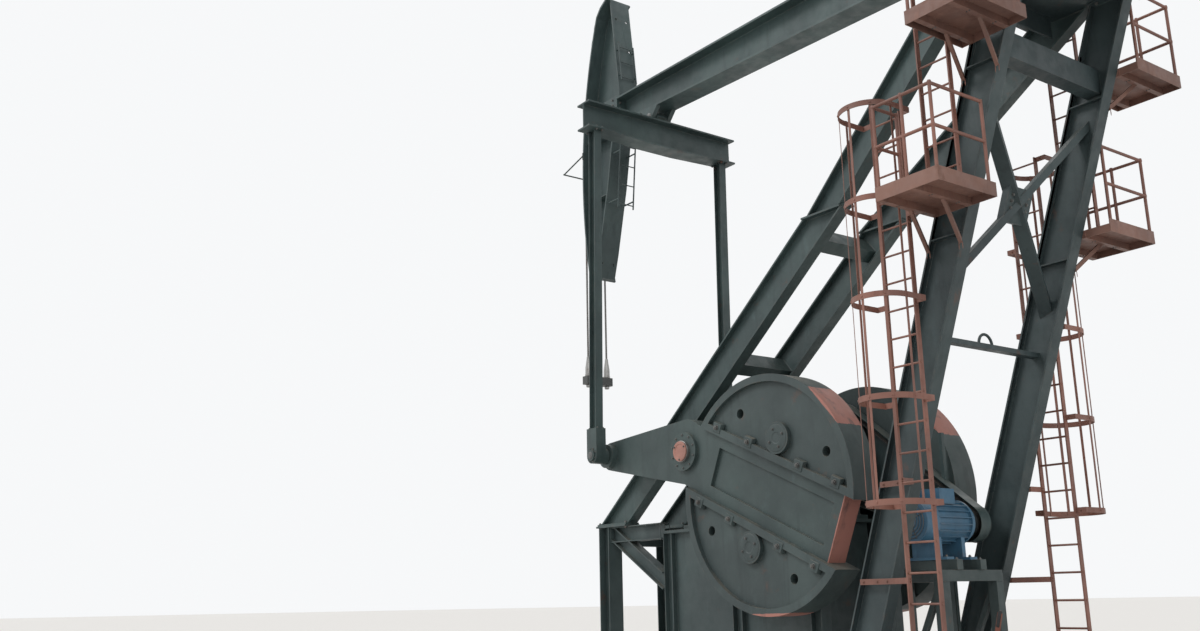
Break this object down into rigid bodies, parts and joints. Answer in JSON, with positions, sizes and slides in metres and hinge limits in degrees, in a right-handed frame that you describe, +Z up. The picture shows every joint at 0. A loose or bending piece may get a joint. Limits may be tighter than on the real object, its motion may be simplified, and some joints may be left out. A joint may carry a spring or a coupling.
{
  "type": "beam pumping unit with a front-mounted linkage",
  "caption": "Tall oilfield pumpjack: walking beam on a leaning post, curved head with wire ropes, cranks with round counterweights, gear reducer, ladders and platforms.",
  "frame": {"origin": "on the ground, straight below the crankshaft, midway between the two base rails", "axes": "+X from the well towards the motor, +Y across the unit to the belt side, +Z up"},
  "size_m": [10.0945, 3.85, 11.4234],
  "materials": {
    "teal_paint": "weathered satin paint",
    "cast_iron_paint": "painted rough casting",
    "orange_paint": "faded dull orange paint",
    "blue_paint": "faded blue paint",
    "bright_steel": "machined and oiled",
    "wire_rope": "greased strands",
    "belt_rubber": "matt"
  },
  "bodies": {
    "frame": {"base_rails": "teal_paint", "base_cross_beams": "teal_paint", "front_columns": "teal_paint", "stand_braces": "teal_paint", "reducer_stand": "teal_paint", "reducer_case": "teal_paint", "reducer_cover": "teal_paint", "reducer_sheave": "cast_iron_paint", "brake_drum": "cast_iron_paint", "brake_lever": "teal_paint", "drive_belts": "belt_rubber", "belt_guard": "teal_paint", "motor": "blue_paint", "motor_rails": "teal_paint", "motor_sheave": "cast_iron_paint", "rear_leg_left": "teal_paint", "rear_leg_right": "teal_paint", "front_leg_left": "teal_paint", "front_leg_right": "teal_paint", "front_ties": "teal_paint", "rear_ties": "teal_paint", "rear_cross_brace": "teal_paint", "post_cap": "teal_paint", "saddle_bearings": "teal_paint", "left_ladders": "orange_paint", "right_ladders": "orange_paint", "left_cage": "orange_paint", "right_cage": "orange_paint", "left_decks": "orange_paint", "right_decks": "orange_paint", "left_handrails": "orange_paint", "right_handrails": "orange_paint"},
    "cranks": {"crankshaft": "bright_steel", "crank_left": "cast_iron_paint", "crank_right": "cast_iron_paint", "weights_left": "cast_iron_paint", "weights_right": "cast_iron_paint"},
    "beam": {"walking_beam": "teal_paint", "beam_shaft": "bright_steel", "horsehead": "teal_paint", "head_ropes": "wire_rope", "rope_guard": "teal_paint"},
    "pitmans": {"yoke": "teal_paint", "pitman_left": "teal_paint", "pitman_right": "teal_paint", "wrist_bearings": "teal_paint"},
    "carrier": {"bridle": "wire_rope", "carrier_bar": "teal_paint"}
  },
  "joints": [
    {"name": "crank_turn", "type": "hinge", "parent": "frame", "child": "cranks", "pos_m": [0, 0, 3.45], "axis": [0, 1, 0], "continuous": true},
    {"name": "beam_rock", "type": "hinge", "parent": "frame", "child": "beam", "pos_m": [5.55, 0, 8.35], "axis": [0, 1, 0], "range_deg": [-16.55, 11.6]},
    {"name": "pitman_swing", "type": "hinge", "parent": "beam", "child": "pitmans", "pos_m": [-1.55, 0, 8.92489], "axis": [0, 1, 0], "range_deg": [-11.65, 16.6]},
    {"name": "carrier_slide", "type": "slide", "parent": "frame", "child": "carrier", "axis": [0, 0, 1], "range_m": [-2.566, 1.8001]}
  ],
  "couplings": [
    {"joint": "pitman_swing", "follows": "beam_rock", "ratio": -1},
    {"joint": "carrier_slide", "follows": "beam_rock", "m_per_rad": 8.8663}
  ]
}
